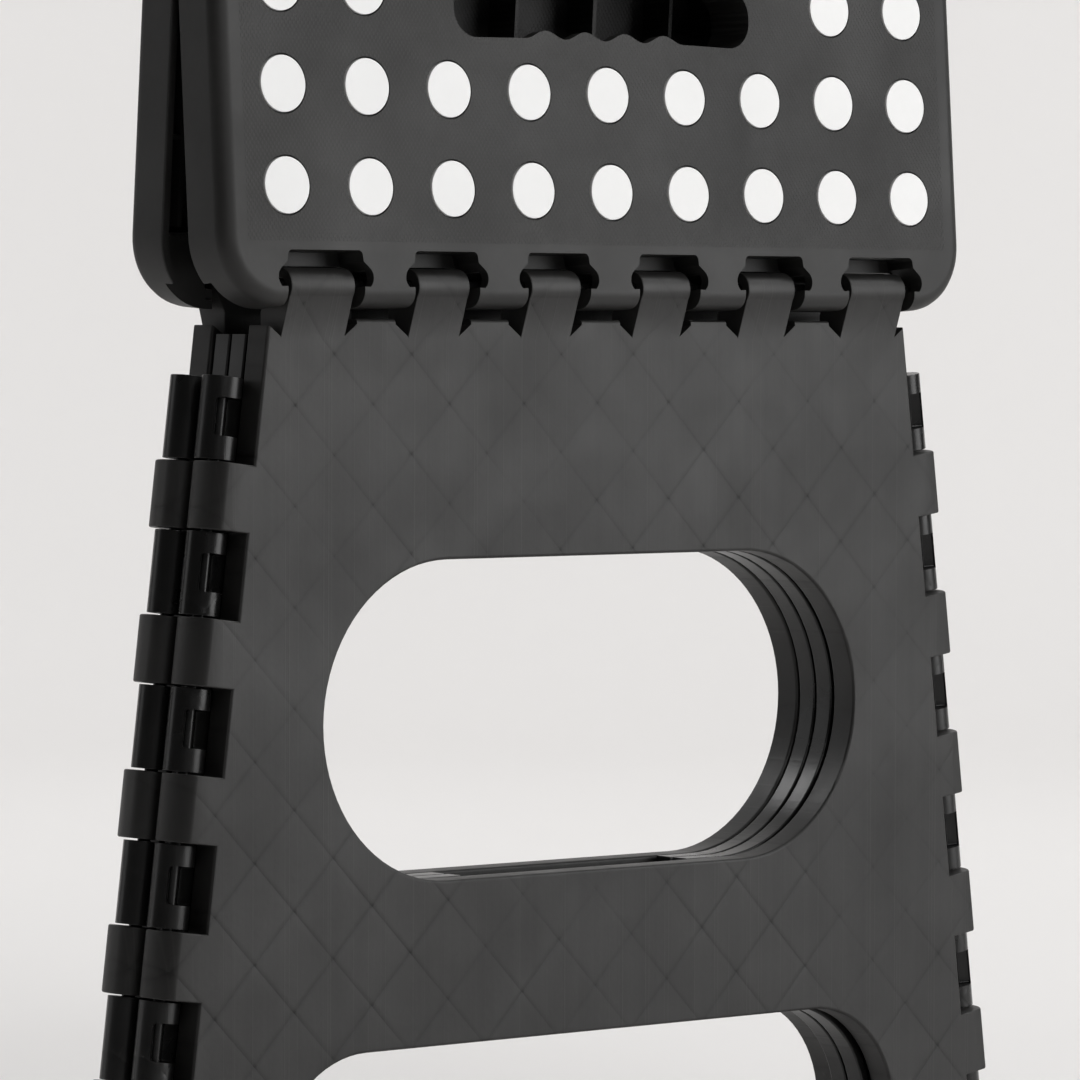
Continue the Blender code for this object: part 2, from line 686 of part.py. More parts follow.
def centre_pin(side):
    return rod("pin", (side * 62.0, 0, CENTRE_Z), (side * 126.0, 0, CENTRE_Z), CENTRE_PIN_R)


# ---- colours ----
tread_grey = (0.066, 0.064, 0.063)
leg_grey = (0.052, 0.050, 0.049)
panel_grey = (0.036, 0.035, 0.034)
pin_black = (0.014, 0.014, 0.014)
dot_white = (0.80, 0.80, 0.78)
rubber_black = (0.018, 0.018, 0.018)

# ---- assembly ----
turned = Matrix.Rotation(pi, 3, "Z")
lean = Matrix.Rotation(-PSI, 3, "X")
pivot_front = Vector((0, -PIVOT_Y, PIVOT_Z))
pivot_rear = Vector((0, PIVOT_Y, PIVOT_Z))
column_fl = column_point(-1, 0.0)
column_fr = column_point(1, 0.0)
column_rr = turned @ column_fl
column_rl = turned @ column_fr
fold_left = fold_point(LEG_TOP)
fold_right = turned @ fold_left


def to_world(obj, rear):
    """Takes a body from the tread frame to its leaning place."""
    obj.data.transform(Matrix.Translation(pivot_front) @ lean.to_4x4())
    return half_turned(obj) if rear else obj


placed(build_leg(), "front_leg", material("front_leg", leg_grey, 0.46), column_fl)
placed(half_turned(build_leg()), "rear_leg", material("rear_leg", leg_grey, 0.46), column_rl)

for part, rear in (("front", False), ("rear", True)):
    pivot = pivot_rear if rear else pivot_front
    spin = (turned @ lean) if rear else lean
    name = part + "_tread"
    placed(to_world(build_tread(not rear), rear), name, material(name, tread_grey, 0.5), pivot, spin)
    name = part + "_grip_dots"
    placed(to_world(build_dots(not rear), rear), name, material(name, dot_white, 0.55), pivot, spin)
    name = part + "_hinge_rod"
    pin = half_turned(hinge_rod()) if rear else hinge_rod()
    placed(pin, name, material(name, pin_black, 0.35), pivot)
    for side, word in ((-1, "left"), (1, "right")):
        name = part + "_" + word + "_foot_pad"
        pad = half_turned(foot_pad(-side)) if rear else foot_pad(side)
        placed(pad, name, material(name, rubber_black, 0.8), column_rl if rear else column_fl)

for side, word in ((-1, "left"), (1, "right")):
    name = "tread_centre_pin_" + word
    placed(centre_pin(side), name, material(name, pin_black, 0.35), (0, 0, CENTRE_Z))

panels = (
    ("left_front", True, False, False, column_fl),
    ("left_rear", False, True, True, column_rl),
    ("right_front", False, True, False, column_fr),
    ("right_rear", True, False, True, column_rr),
)
for label, front_knuckles, flip, rear, origin in panels:
    body = build_panel(front_knuckles)
    pin = column_rod()
    if flip:
        body = mirrored(body)
        pin = mirrored(pin)
    if rear:
        body = half_turned(body)
        pin = half_turned(pin)
    placed(body, label + "_panel", material(label + "_panel", panel_grey, 0.42), origin)
    placed(pin, label + "_column_pin", material(label + "_column_pin", pin_black, 0.35), origin)

for upper, word in ((True, "upper"), (False, "lower")):
    name = "left_fold_pin_" + word
    placed(fold_rod(upper), name, material(name, pin_black, 0.35), fold_left)
    name = "right_fold_pin_" + word
    placed(half_turned(fold_rod(upper)), name, material(name, pin_black, 0.35), fold_right)

bpy.data.collections.remove(cutters)
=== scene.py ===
"""Looks for the folding step stool: finer shells for the CAD nodes, materials, light, camera."""
from math import atan, ceil, cos, pi, radians, sin, sqrt

import bmesh
import bpy
from mathutils import Matrix, Vector


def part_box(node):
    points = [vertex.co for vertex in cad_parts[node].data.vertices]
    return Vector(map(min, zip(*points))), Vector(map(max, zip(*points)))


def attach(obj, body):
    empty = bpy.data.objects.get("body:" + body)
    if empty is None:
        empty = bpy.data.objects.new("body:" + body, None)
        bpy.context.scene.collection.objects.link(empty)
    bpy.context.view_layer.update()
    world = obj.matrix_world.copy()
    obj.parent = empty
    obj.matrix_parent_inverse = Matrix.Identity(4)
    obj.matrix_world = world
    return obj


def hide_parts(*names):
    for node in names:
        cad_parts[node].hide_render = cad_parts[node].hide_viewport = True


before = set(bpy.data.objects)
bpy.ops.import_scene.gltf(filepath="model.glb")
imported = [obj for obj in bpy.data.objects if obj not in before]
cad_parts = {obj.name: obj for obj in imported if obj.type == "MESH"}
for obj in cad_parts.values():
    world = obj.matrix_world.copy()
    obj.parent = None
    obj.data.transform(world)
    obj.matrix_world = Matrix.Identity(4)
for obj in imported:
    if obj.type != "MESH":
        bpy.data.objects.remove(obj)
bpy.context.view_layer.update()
MM = 0.001

# ---- sizes in millimetres: the driving dimensions, then details only the shells have ----
TREAD_WIDTH = 300.0
TREAD_HALF_DEPTH = 110.0
TREAD_THICK = 17.3
TREAD_SKIN = 3.2
TREAD_WALL = 2.6
EDGE_TO_PIVOT = 6.3
TOP_TO_PIVOT = 6.8
CENTRE_GAP = 0.3
LEG_BOTTOM = 3.0
LEG_THICK = 9.5
LEG_FACE = 17.7
LEG_SKIN = 2.6
LEG_RIM = 2.8
PAD_X = 146.0
PAD_HALF = 14.0
PAD_CLEAR = 0.3
PIVOT_ABOVE_LEG = 9.5
SIDE_TAPER = 0.127
LEG_HALF_TOP = 129.1
COLUMN_OUT = 6.8
COLUMN_Y = 7.4
COLUMN_R = 6.0
RECESS_FIRST = 16.4
RECESS_LEN = 25.5
RECESS_PITCH = 45.3
RECESS_COUNT = 6
HOLE_HALF = 108.0
HOLE_R = 47.75
HOLE_DROP = 119.0
ARCH_DROP = 216.0
ARCH_STRAIGHT = 88.8
ARCH_R = 35.0
PANEL_THICK = 6.8
PANEL_SKIN = 2.5
PANEL_INNER = 0.4
FOLD_X = 40.22
FOLD_LEAN = 0.00135
FOLD_R = 5.0
CLIP_LIP = 4.6               # edge of the finger window in each clip, from the column axis
DOT_R = 8.4
DOT_LESS = 0.1               # the shown dot is this much smaller than the solid one
SEAT_GAP = 0.55              # dark groove round each dot
DOT_PROUD = 0.3
DOT_PITCH_X = 31.6
DOT_PITCH_Z = 29.4
DOT_FIRST = 35.0
EYE_R = 5.4
EYE_LOW = -15.6              # where each eye's strap ends on the leg face
NOTCH_WIDE = 4.8
KNUCKLES = ((22.5, 24.8, 19.8), (66.7, 24.8, 19.8), (112.9, 28.5, 24.0))
PIN_R = 2.0
HOLE_CLEAR = 0.3
CENTRE_R = 4.6
CENTRE_SLACK = 2.0
SLOT_OPEN_Z = 6.1            # each eye slot is open right through below this
SLOT_TOP_Z = 10.1
WEB_FRONT = 4.4              # web that closes the slot above the eye
WEB_BACK = 6.0
BULGE_R = 3.6
BULGE_Z = 2.2
HANDLE_HALF = 60.0
HANDLE_LOW = 80.3
HANDLE_HIGH = 98.6
BUMP_RISE = 2.5              # finger rests on the slot's lower lip
LIP_DEEP = 4.6
SINK_WIDE = 2.6              # half width of the shallow line over each rib
STIPPLE_X = 1.5              # grip field: staggered fine dots
STIPPLE_Z = 2.2
FIELD_HALF = 141.0
FIELD_LOW = 19.0
RIB_PITCH = 29.5             # diagonal ribs behind the leg faces, along the level
RIB_SHIFT = -1.5
RIB_CROSS_Z = 72.8
RIB_WIDE = 1.3

# ---- places taken from the frame ----
rod_low, rod_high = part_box("front_hinge_rod")
PIVOT_Y = -(rod_low[1] + rod_high[1]) / 2 / MM
PIVOT_Z = (rod_low[2] + rod_high[2]) / 2 / MM
LEG_TOP = PIVOT_Z - PIVOT_ABOVE_LEG
ARM = TREAD_HALF_DEPTH - EDGE_TO_PIVOT
DROP = TREAD_THICK - TOP_TO_PIVOT
centre_low, centre_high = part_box("tread_centre_pin_left")
CENTRE_Z = (centre_low[2] + centre_high[2]) / 2 / MM
PSI = atan(PIVOT_Y / (CENTRE_Z - PIVOT_Z)) - atan(DROP / ARM)
BETA = atan(SIDE_TAPER)
AXIS_STEP = sqrt(1.0 + SIDE_TAPER ** 2)
COLUMN_TOP = LEG_HALF_TOP + COLUMN_OUT
HOLE_Z = LEG_TOP - HOLE_DROP
ARCH_Z = LEG_TOP - ARCH_DROP

# ---- outlines ----
def arc(cx, cz, r, a0, a1, count):
    steps = [a0 + (a1 - a0) * i / count for i in range(count + 1)]
    return [(cx + r * cos(radians(a)), cz + r * sin(radians(a))) for a in steps]


def fillet(corners, count=8):
    """Corners are (x, z, radius), in order; returns the outline with rounded corners."""
    out = []
    for i, (x, z, r) in enumerate(corners):
        if r <= 0.0:
            out.append((x, z))
            continue
        p = Vector((x, z))
        a = (Vector(corners[i - 1][:2]) - p).normalized()
        b = (Vector(corners[(i + 1) % len(corners)][:2]) - p).normalized()
        half = a.angle(b) / 2.0
        centre = p + (a + b).normalized() * (r / sin(half))
        start = p + a * (r * cos(half) / sin(half)) - centre
        end = p + b * (r * cos(half) / sin(half)) - centre
        turn = start.angle_signed(end)
        for k in range(count + 1):
            v = start.copy()
            v.rotate(Matrix.Rotation(-turn * k / count, 2))
            out.append(tuple(centre + v))
    return out


def stadium(half, r, cz, count=40):
    return arc(half - r, cz, r, -90, 90, count) + arc(r - half, cz, r, 90, 270, count)


def recess_x(z):
    return LEG_HALF_TOP + SIDE_TAPER * (LEG_TOP - z)


def fold_x(z):
    return FOLD_X + FOLD_LEAN * (LEG_TOP - z)


# ---- solids, built in millimetres ----
work = bpy.data.collections.new("work")
bpy.context.scene.collection.children.link(work)


def finish_mesh(name, bm):
    bmesh.ops.remove_doubles(bm, verts=bm.verts, dist=0.002)
    bmesh.ops.recalc_face_normals(bm, faces=bm.faces)
    mesh = bpy.data.meshes.new(name)
    bm.to_mesh(mesh)
    bm.free()
    obj = bpy.data.objects.new(name, mesh)
    work.objects.link(obj)
    return obj


def plate(name, loops, y0, y1, edge=0.0, steps=2):
    """Flat piece in the XZ plane between y0 and y1 with rounded edges; later loops are holes."""
    curve = bpy.data.curves.new(name, "CURVE")
    curve.dimensions = "2D"
    curve.fill_mode = "BOTH"
    curve.extrude = (y1 - y0) / 2.0 - edge
    curve.bevel_depth = edge
    curve.bevel_resolution = steps if edge > 0.0 else 0
    curve.offset = -edge
    for loop in loops:
        spline = curve.splines.new("POLY")
        spline.points.add(len(loop) - 1)
        spline.use_cyclic_u = True
        for point, (x, z) in zip(spline.points, loop):
            point.co = (x, z, 0.0, 1.0)
    holder = bpy.data.objects.new(name, curve)
    work.objects.link(holder)
    graph = bpy.context.evaluated_depsgraph_get()
    mesh = bpy.data.meshes.new_from_object(holder.evaluated_get(graph))
    bpy.data.objects.remove(holder)
    mesh.transform(Matrix.Translation((0, (y0 + y1) / 2.0, 0)) @ Matrix.Rotation(pi / 2, 4, "X"))
    bm = bmesh.new()
    bm.from_mesh(mesh)
    return finish_mesh(name, bm)


def prism(name, section, start, end, across, up, edge=0.0):
    """Extrudes a section of (a, b) pairs from start to end; edge rounds the rims of both ends."""
    across, up = Vector(across), Vector(up)
    start, end = Vector(start), Vector(end)
    bm = bmesh.new()
    ring = [bm.verts.new(start + across * a + up * b) for a, b in section]
    cap = bm.faces.new(ring)
    grown = bmesh.ops.extrude_face_region(bm, geom=[cap])
    bmesh.ops.translate(bm, verts=[g for g in grown["geom"] if isinstance(g, bmesh.types.BMVert)],
                        vec=end - start)
    bmesh.ops.recalc_face_normals(bm, faces=bm.faces)
    if edge > 0.0:
        caps = [f for f in bm.faces if len(f.verts) == len(section)]
        rims = {e for f in caps for e in f.edges} if len(section) != 4 else set(bm.edges)
        bmesh.ops.bevel(bm, geom=list(rims), offset=edge, segments=2, profile=0.5,
                        affect="EDGES", clamp_overlap=True)
    return finish_mesh(name, bm)


def box(name, x0, x1, y0, y1, z0, z1, edge=0.0):
    section = [(x0, y0), (x1, y0), (x1, y1), (x0, y1)]
    return prism(name, section, (0, 0, z0), (0, 0, z1), (1, 0, 0), (0, 1, 0), edge)


def rod(name, start, end, r, count=32, edge=0.0):
    along = (Vector(end) - Vector(start)).normalized()
    side = along.cross(Vector((0, 1, 0) if abs(along.y) < 0.9 else (1, 0, 0))).normalized()
    return prism(name, arc(0, 0, r, 0, 360 - 360 / count, count - 1), start, end,
                 side, along.cross(side), edge)


def merged(name, pieces):
    bm = bmesh.new()
    for piece in pieces:
        bm.from_mesh(piece.data)
        bpy.data.objects.remove(piece)
    mesh = bpy.data.meshes.new(name)
    bm.to_mesh(mesh)
    bm.free()
    obj = bpy.data.objects.new(name, mesh)
    work.objects.link(obj)
    return obj


def combine(target, tool, operation):
    """Boolean of target with tool; the tool is used up."""
    mod = target.modifiers.new("cut", "BOOLEAN")
    mod.operation = operation
    mod.solver = "EXACT"
    mod.use_self = True
    mod.object = tool
    graph = bpy.context.evaluated_depsgraph_get()
    mesh = bpy.data.meshes.new_from_object(target.evaluated_get(graph))
    target.modifiers.clear()
    target.data = mesh
    bpy.data.objects.remove(tool)
    return target


def union(pieces):
    return combine(pieces[0], merged("join", pieces[1:]), "UNION")


def half_turned(obj):
    obj.data.transform(Matrix.Rotation(pi, 4, "Z"))
    return obj


def mirrored(obj):
    obj.data.transform(Matrix.Scale(-1, 4, (1, 0, 0)))
    obj.data.flip_normals()
    return obj


def show(obj, name, body, mat, replaced=(), crease=30.0):
    """Finishes a piece: metres, smooth shading, material, body, and the CAD nodes it stands for."""
    bm = bmesh.new()
    bm.from_mesh(obj.data)
    bmesh.ops.remove_doubles(bm, verts=bm.verts, dist=0.004)
    bmesh.ops.dissolve_degenerate(bm, edges=bm.edges, dist=0.002)
    bmesh.ops.scale(bm, verts=bm.verts, vec=(MM, MM, MM))
    for face in bm.faces:
        face.smooth = True
    for edge in bm.edges:
        edge.smooth = edge.is_manifold and edge.calc_face_angle(pi) < radians(crease)
    mesh = bpy.data.meshes.new(name)
    bm.to_mesh(mesh)
    bm.free()
    mesh.materials.clear()
    mesh.materials.append(mat)
    obj.data = mesh
    even = obj.modifiers.new("even", "WEIGHTED_NORMAL")
    even.mode = "FACE_AREA"
    even.weight = 100
    even.keep_sharp = True
    graph = bpy.context.evaluated_depsgraph_get()
    even_mesh = bpy.data.meshes.new_from_object(obj.evaluated_get(graph))
    obj.modifiers.clear()
    obj.data = even_mesh
    obj.name = name
    work.objects.unlink(obj)
    bpy.context.scene.collection.objects.link(obj)
    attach(obj, body)
    for node in replaced:
        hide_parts(node)
    return obj


# ---- legs ----
def leg_outline():
    low, high = recess_x(LEG_BOTTOM), recess_x(LEG_TOP)
    arch_edge = ARCH_STRAIGHT + ARCH_R
    return fillet([
        (-high, LEG_TOP, 3.0), (-low, LEG_BOTTOM, 2.0), (-arch_edge - 4.0, LEG_BOTTOM, 2.0),
        (-arch_edge, ARCH_Z, ARCH_R), (arch_edge, ARCH_Z, ARCH_R),
        (arch_edge + 4.0, LEG_BOTTOM, 2.0), (low, LEG_BOTTOM, 2.0), (high, LEG_TOP, 3.0)], 16)


def rib_lattice(y0, y1):
    """Diagonal ribs both ways, with a crossing at RIB_SHIFT from the middle, RIB_CROSS_Z up."""
    ribs = []
    reach = 300.0
    count = ceil((175.0 + reach) / RIB_PITCH)
    half = RIB_WIDE / 2
    for way in (-1, 1):
        side = Vector((1, 0, -way)).normalized()
        low, high = y0 + 0.03 * (way + 1), y1 - 0.03 * (way + 1)
        section = [(-half, low), (half, low), (half, high), (-half, high)]
        for i in range(-count, count + 1):
            x = i * RIB_PITCH + RIB_SHIFT
            ribs.append(prism("rib", section, (x - way * reach, 0, RIB_CROSS_Z - reach),
                              (x + way * reach, 0, RIB_CROSS_Z + reach), side, (0, 1, 0)))
    return merged("ribs", ribs)


def column_point(side, q):
    """Point on a hinge column axis, q below the leg's top edge along the column."""
    drop = q / AXIS_STEP
    return Vector((side * (COLUMN_TOP + SIDE_TAPER * drop), -COLUMN_Y, LEG_TOP - drop))


def column_frame(side):
    return Vector((side * cos(BETA), 0, sin(BETA))), Vector((0, 1, 0))


def tab_section():
    face = -(LEG_FACE - COLUMN_Y)
    back = face + LEG_THICK
    top = [(6.0 * cos(radians(a)), face * sin(radians(a))) for a in range(0, 80, 8)]
    under = arc(0, 0, COLUMN_R, 0, 150, 18)
    return [(-COLUMN_OUT - 3.0, back), (-COLUMN_OUT - 3.0, face), (-3.0, face)] + top[::-1] + \
        under[1:] + [(-COLUMN_OUT + 1.2, back)]


def leg_tab(side, q0, q1, section, edge=0.5):
    out, back = column_frame(side)
    return prism("tab", section, column_point(side, q0), column_point(side, q1), out, back, edge)


def eye_section():
    """Leg-top hinge eye in (y, z) about the tread pivot."""
    face = PIVOT_Y - LEG_FACE
    return arc(0, 0, EYE_R, -10, 215, 36) + [
        (face, EYE_LOW), (face + LEG_THICK, EYE_LOW), (face + LEG_THICK, -7.5)]


def eye_notch(x, width, way):
    """Cut-out in the leg's top edge beside an eye; way is the side of the eye it lies on."""
    near, far = x + way * (width / 2 - 0.6), x + way * (width / 2 + NOTCH_WIDE)
    section = [(near, 2.0), (near, -5.5), (far, -1.5), (far, 2.0)]
    return prism("notch", section, (0, -25, LEG_TOP), (0, 0, LEG_TOP), (1, 0, 0), (0, 0, 1))


def build_leg():
    face, back = -LEG_FACE, -LEG_FACE + LEG_THICK
    body = plate("leg", [leg_outline(), stadium(HOLE_HALF, HOLE_R, HOLE_Z)], face, back, 1.0, 2)
    rim = LEG_RIM
    arch_edge = ARCH_STRAIGHT + ARCH_R + rim
    high_x = recess_x(LEG_TOP - 6) - rim - 2
    low_x = recess_x(LEG_BOTTOM) - rim - 4
    inner = fillet([
        (-high_x, LEG_TOP - 12.0, 3.0), (-low_x, LEG_BOTTOM + rim, 2.0),
        (-arch_edge - 4.0, LEG_BOTTOM + rim, 2.0), (-arch_edge, ARCH_Z + rim, ARCH_R + rim),
        (arch_edge, ARCH_Z + rim, ARCH_R + rim), (arch_edge + 4.0, LEG_BOTTOM + rim, 2.0),
        (low_x, LEG_BOTTOM + rim, 2.0), (high_x, LEG_TOP - 12.0, 3.0)], 12)
    hole_rim = stadium(HOLE_HALF + rim, HOLE_R + rim, HOLE_Z)
    pocket = plate("pocket", [inner, hole_rim], face + LEG_SKIN, back + 1.0)
    ribs = rib_lattice(face + 1.0, back - 2.0)
    pocket = combine(pocket, ribs, "DIFFERENCE")
    body = combine(body, pocket, "DIFFERENCE")
    notches = [eye_notch(side * x, width, way) for x, _, width in KNUCKLES
               for side in (-1, 1) for way in (-1, 1)]
    body = combine(body, merged("notches", notches), "DIFFERENCE")
    pieces = [body]
    for side in (-1, 1):
        for k in range(RECESS_COUNT):
            q0 = RECESS_FIRST + RECESS_LEN + k * RECESS_PITCH
            q1 = RECESS_FIRST + (k + 1) * RECESS_PITCH
            if k == RECESS_COUNT - 1:
                q1 = (LEG_TOP - LEG_BOTTOM) * AXIS_STEP - 0.4
            pieces.append(leg_tab(side, q0, q1, tab_section()))
        for x, _, width in KNUCKLES:
            start = (side * x - width / 2, -PIVOT_Y, PIVOT_Z)
            end = (side * x + width / 2, -PIVOT_Y, PIVOT_Z)
            pieces.append(prism("eye", eye_section(), start, end, (0, 1, 0), (0, 0, 1), 0.5))
    body = union(pieces)
    cuts = [rod("bore", (-150, -PIVOT_Y, PIVOT_Z), (150, -PIVOT_Y, PIVOT_Z), PIN_R + HOLE_CLEAR)]
    for side in (-1, 1):
        cuts.append(rod("bore", column_point(side, -5.0), column_point(side, 276.0),
                        PIN_R + HOLE_CLEAR))
        mid = side * PAD_X
        y0, y1 = -LEG_FACE + 2.2, -LEG_FACE + LEG_THICK - 2.2
        reach = PAD_HALF + PAD_CLEAR
        cuts.append(box("socket", mid - reach, mid + reach, y0 - PAD_CLEAR, y1 + PAD_CLEAR, -30,
                        LEG_BOTTOM + 3.3))
    return combine(body, merged("cuts", cuts), "DIFFERENCE")


# ---- tread halves, built upright with the leg pivot at the origin ----
def tread_ring(inset, y):
    half = TREAD_WIDTH / 2 - inset
    low = -EDGE_TO_PIVOT + inset
    high = ARM - CENTRE_GAP - 0.3 * inset
    corners = [(-half, high, 4.0), (-half, low, 21.0 - inset), (half, low, 21.0 - inset),
               (half, high, 4.0)]
    return [(x, y, z) for x, z in fillet(corners, 16)]


def tread_shell():
    top, under = -TOP_TO_PIVOT, DROP
    turn = [radians(90 * i / 6) for i in range(7)]
    levels = [(5.0 * (1 - sin(a)), top + 5.0 * (1 - cos(a))) for a in turn]
    levels += [(0.0, under - 0.6), (0.2, under - 0.2), (0.6, under)]
    bm = bmesh.new()
    rings = [[bm.verts.new(v) for v in tread_ring(inset, y)] for inset, y in levels]
    bm.faces.new(rings[0])
    bm.faces.new(rings[-1])
    count = len(rings[0])
    for low_ring, high_ring in zip(rings, rings[1:]):
        for i in range(count):
            j = (i + 1) % count
            bm.faces.new((low_ring[i], low_ring[j], high_ring[j], high_ring[i]))
    return finish_mesh("tread", bm)


def handle_outline(grow=0.0, bumps=True):
    low = HANDLE_LOW - EDGE_TO_PIVOT - grow
    high = HANDLE_HIGH - EDGE_TO_PIVOT + grow
    half = HANDLE_HALF + grow
    r = 8.5 + grow
    out = arc(half - r, high - r, r, 0, 90, 12) + arc(r - half, high - r, r, 90, 180, 12)
    out += arc(r - half, low + r, r, 180, 270, 12)
    if bumps:
        for i in range(65):
            x = -32.0 + i
            out.append((x, low + 0.4 + BUMP_RISE / 2 * (1.0 - cos(2 * pi * (x + 32.0) / 16.0))))
    out += arc(half - r, low + r, r, 270, 360, 12)[:-1]
    return out


def dot_centres(front):
    out = []
    for row in range(3):
        for col in range(9):
            if not (front and row == 2 and 2 <= col <= 6):
                out.append(((col - 4) * DOT_PITCH_X,
                            DOT_FIRST + row * DOT_PITCH_Z - EDGE_TO_PIVOT))
    return out


def centre_spans(front):
    spans = []
    for side in (-1, 1):
        for i in range(5):
            low = 64.0 + 12.0 * i
            if (i % 2 == 0) == front:
                spans.append((side, low + 0.3, low + 11.7))
    return spans


def slot_section(mid, slot, top_z):
    """Tread recess for one leg eye, with a round bulge at each side."""
    half = slot / 2
    right = [(x, z) for x, z in arc(mid + half, BULGE_Z, BULGE_R, -50, 50, 12) if z < top_z]
    left = [(x, z) for x, z in arc(mid - half, BULGE_Z, BULGE_R, 130, 230, 12) if z < top_z]
    crown = fillet([(mid + half, 6.9, 0), (mid + half - 0.4, top_z, 1.6),
                    (mid - half + 0.4, top_z, 1.6), (mid - half, 6.9, 0)], 5)
    if top_z < 7.0:
        crown = [(mid + half, top_z), (mid - half, top_z)]
    return [(mid - half, -8.0), (mid + half, -8.0), (mid + half + 0.2, -0.5)] + right + crown + \
        left + [(mid - half - 0.2, -0.5)]


def slot_cuts(mid, slot):
    """Open right through round the eye; above it a web between a front pocket and the back."""
    top, under = -TOP_TO_PIVOT, DROP
    along, up = (1, 0, 0), (0, 0, 1)
    return [prism("slot", slot_section(mid, slot, SLOT_OPEN_Z), (0, top - 1, 0), (0, under + 1, 0),
                  along, up),
            prism("pocket", slot_section(mid, slot, SLOT_TOP_Z), (0, top - 1.1, 0),
                  (0, WEB_FRONT, 0), along, up),
            box("behind", mid - slot / 2 + 0.1, mid + slot / 2 - 0.1, WEB_BACK, under + 1.1,
                0.0, 10.0)]


def build_tread(front):
    top, under = -TOP_TO_PIVOT, DROP
    half = TREAD_WIDTH / 2
    low, high = -EDGE_TO_PIVOT, ARM - CENTRE_GAP
    wall = TREAD_WALL
    body = tread_shell()
    inner = fillet([(-half + wall, high - wall, 2.0), (-half + wall, low + wall, 18.4),
                    (half - wall, low + wall, 18.4), (half - wall, high - wall, 2.0)], 12)
    pocket = plate("pocket", [inner], top + TREAD_SKIN, under + 1.0)
    ribs = []
    for i in range(10):
        x = (i - 4.5) * DOT_PITCH_X
        ribs.append(box("rib", x - 0.7, x + 0.7, top + 1.0, under - 2.0, low + 24.0, high - 1.0))
    for row in range(4):
        z = low + 20.0 + row * DOT_PITCH_Z
        ribs.append(box("rib", -half + 1, half - 1, top + 1.1, under - 2.2, z, z + 1.4))
    for x, slot, _ in KNUCKLES:
        for side in (-1, 1):
            reach = slot / 2 + 2.8
            section = [(top + 1.2, low + 1.0), (top + 1.2, 16.0), (6.4, 16.0), (6.4, -3.0),
                       (3.0, low + 1.0)]
            ribs.append(prism("ear", section, (side * x - reach, 0, 0), (side * x + reach, 0, 0),
                              (0, 1, 0), (0, 0, 1)))
    for x0, x1 in ((-half + 1.0, -129.6), (129.6, half - 1.0)):
        ribs.append(box("corner", x0, x1, top + 1.15, 6.3, low + 1.1, 15.9))
    if front:
        ribs.append(plate("rim", [handle_outline(2.6, False)], top + 1.3, under - 0.4))
    else:
        ledge = fillet([(-70, 100, 8.0), (-70, 66, 8.0), (70, 66, 8.0), (70, 100, 8.0)], 8)
        gap = fillet([(-66, 97, 6.0), (-66, 70, 6.0), (66, 70, 6.0), (66, 97, 6.0)], 8)
        ribs.append(plate("ledge", [ledge, gap], top + 1.3, under - 0.4))
    pocket = combine(pocket, merged("ribs", ribs), "DIFFERENCE")
    ease = [(under + 1.0, high + 1.0), (under + 1.0, high - 3.9), (under - 2.8, high + 1.0)]
    ease = prism("ease", ease, (-160, 0, 0), (160, 0, 0), (0, 1, 0), (0, 0, 1))
    body = combine(body, ease, "DIFFERENCE")
    body = combine(body, pocket, "DIFFERENCE")
    pieces = [body]
    for side, lo, hi in centre_spans(front):
        section = arc(DROP, ARM, CENTRE_R, -90, 180, 24) + [
            (DROP - 5.5, ARM - 0.8), (DROP - 5.5, ARM - 3.5), (DROP, ARM - 7.0)]
        pieces.append(prism("eye", section, (side * lo, 0, 0), (side * hi, 0, 0),
                            (0, 1, 0), (0, 0, 1), 0.3))
    body = union(pieces)
    cuts = [rod("bore", (-131, 0, 0), (131, 0, 0), PIN_R + HOLE_CLEAR)]
    for x, slot, _ in KNUCKLES:
        for side in (-1, 1):
            cuts += slot_cuts(side * x, slot)
    for x, z in dot_centres(front):
        cuts.append(rod("seat", (x, top - 1.0, z), (x, top + 1.5, z),
                        DOT_R - DOT_LESS + SEAT_GAP, 64))
    cuts.append(box("relief", -145, 145, 6.6, under + 1.0, low - 1.0, 17.0))
    if front:
        cuts.append(plate("handle", [handle_outline()], top - 2.0, top + LIP_DEEP))
        cuts.append(plate("well", [handle_outline(0.05, False)], top + LIP_DEEP - 0.1, under + 2.0))
    for side, lo, hi in centre_spans(not front):
        cuts.append(rod("gap", (side * (lo - 0.6), DROP, ARM), (side * (hi + 0.6), DROP, ARM),
                        CENTRE_R + CENTRE_SLACK, 32))
    bore = 1.6 if front else 3.3
    for side in (-1, 1):
        cuts.append(rod("bore", (side * 60, DROP, ARM), (side * 128, DROP, ARM), bore))
    return combine(body, merged("cuts", cuts), "DIFFERENCE")


def build_dots(front):
    top = -TOP_TO_PIVOT
    dots = []
    for x, z in dot_centres(front):
        dots.append(rod("dot", (x, top - DOT_PROUD, z), (x, top + 1.4, z),
                        DOT_R - DOT_LESS, 64, 0.2))
    return merged("dots", dots)


# ---- side panels, built for the front left ----
def column_edge(z, reach):
    return -recess_x(z) - COLUMN_OUT + reach * AXIS_STEP


def panel_outline(rim, reach):
    top, bottom = LEG_TOP - 4.5 - rim, 2.0 + rim
    fold = -FOLD_X - 6.0 - rim
    r = HOLE_R + rim
    arch_edge = ARCH_STRAIGHT + ARCH_R + rim
    notch = arc(-(HOLE_HALF - HOLE_R), HOLE_Z, r, 90, 270, 40)
    arch = arc(-ARCH_STRAIGHT, ARCH_Z - ARCH_R, ARCH_R + rim, 90, 180, 16)
    return [(column_edge(top, reach), top), (fold, top), (fold, HOLE_Z + r)] + notch + \
        [(fold, HOLE_Z - r), (fold, ARCH_Z + rim)] + arch + \
        [(-arch_edge - 2.0, bottom), (column_edge(bottom, reach), bottom)]


